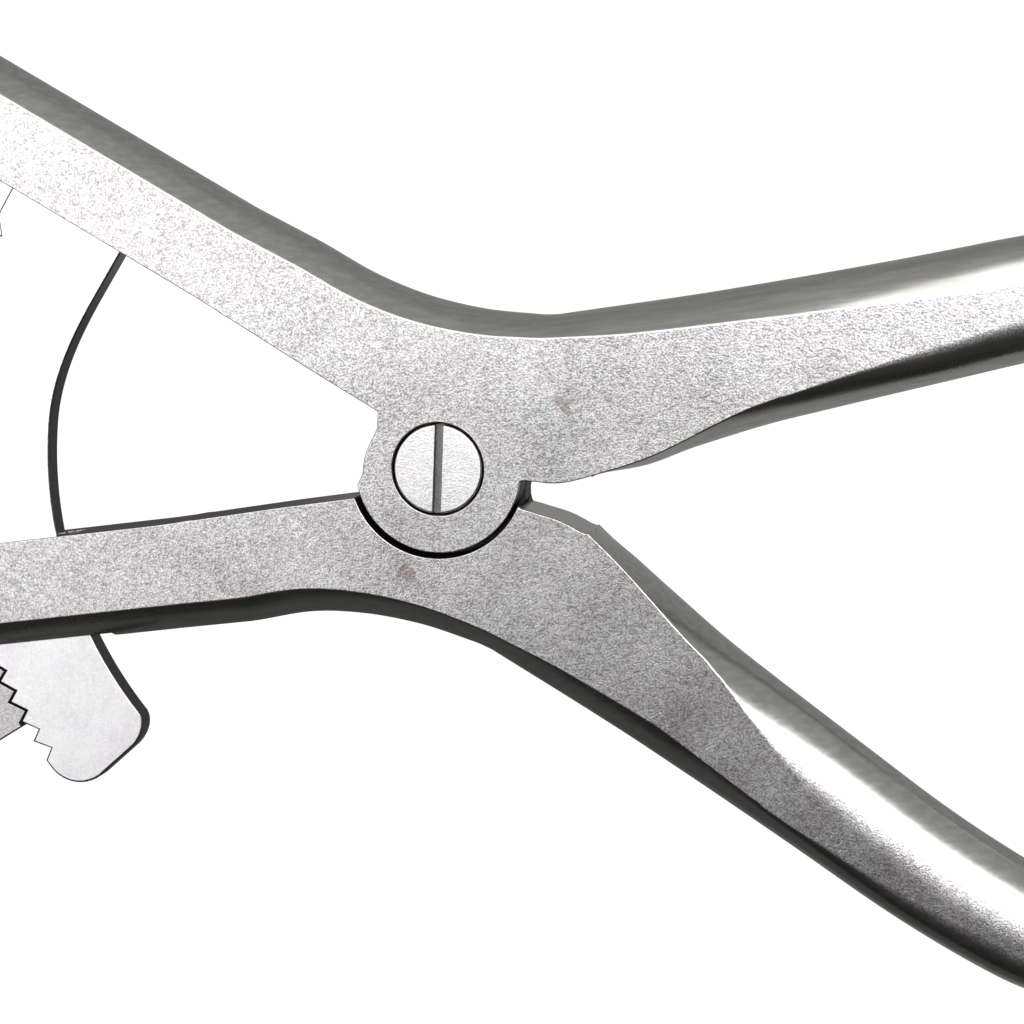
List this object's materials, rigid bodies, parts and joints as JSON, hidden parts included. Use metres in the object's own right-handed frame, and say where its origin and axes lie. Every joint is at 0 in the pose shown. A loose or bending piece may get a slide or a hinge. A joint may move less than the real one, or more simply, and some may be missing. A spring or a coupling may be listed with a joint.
{
  "type": "mouth gag forceps",
  "caption": "Screw-jointed forceps whose bowed jaws spread when the handles are squeezed, held by a toothed arc and a sprung pawl.",
  "frame": {"origin": "the pivot screw's axis, on the flat back of the instrument", "axes": "+X from the joint to the jaw tips, halfway between the levers; +Y to the upper lever, which carries the toothed arc; +Z along the screw, out of the face with the slotted head"},
  "size_m": [0.1894, 0.0747, 0.0066],
  "materials": {
    "satin_stainless": "satin, fine bead-blasted grain",
    "turned_stainless": "turned and ground",
    "ground_stainless": "ground bright",
    "hardened_steel": "brushed, darker",
    "spring_steel": "rolled strip",
    "black_rubber": "matt moulded"
  },
  "bodies": {
    "lower_lever": {"lower_lever": "satin_stainless", "pivot_screw": "turned_stainless", "pawl_pin": "turned_stainless", "pawl_spring": "spring_steel", "spring_screw": "turned_stainless", "lower_tip_sleeve": "black_rubber"},
    "upper_lever": {"upper_lever": "satin_stainless", "ratchet_rack": "ground_stainless", "rack_pin_inner": "turned_stainless", "rack_pin_outer": "turned_stainless", "upper_tip_sleeve": "black_rubber"},
    "pawl": {"pawl_lever": "hardened_steel"}
  },
  "joints": [
    {"name": "lever_hinge", "type": "hinge", "parent": "lower_lever", "child": "upper_lever", "pos_m": [0, 0, 0], "axis": [0, 0, 1], "range_deg": [-5.2, 26]},
    {"name": "pawl_hinge", "type": "hinge", "parent": "lower_lever", "child": "pawl", "pos_m": [-0.04313, -0.02086, 0.0033], "axis": [0, 0, -1], "range_deg": [0, 11], "stiffness_Nm_per_rad": 0.02, "springref_deg": -11.46, "deforming": ["pawl_spring"]}
  ]
}
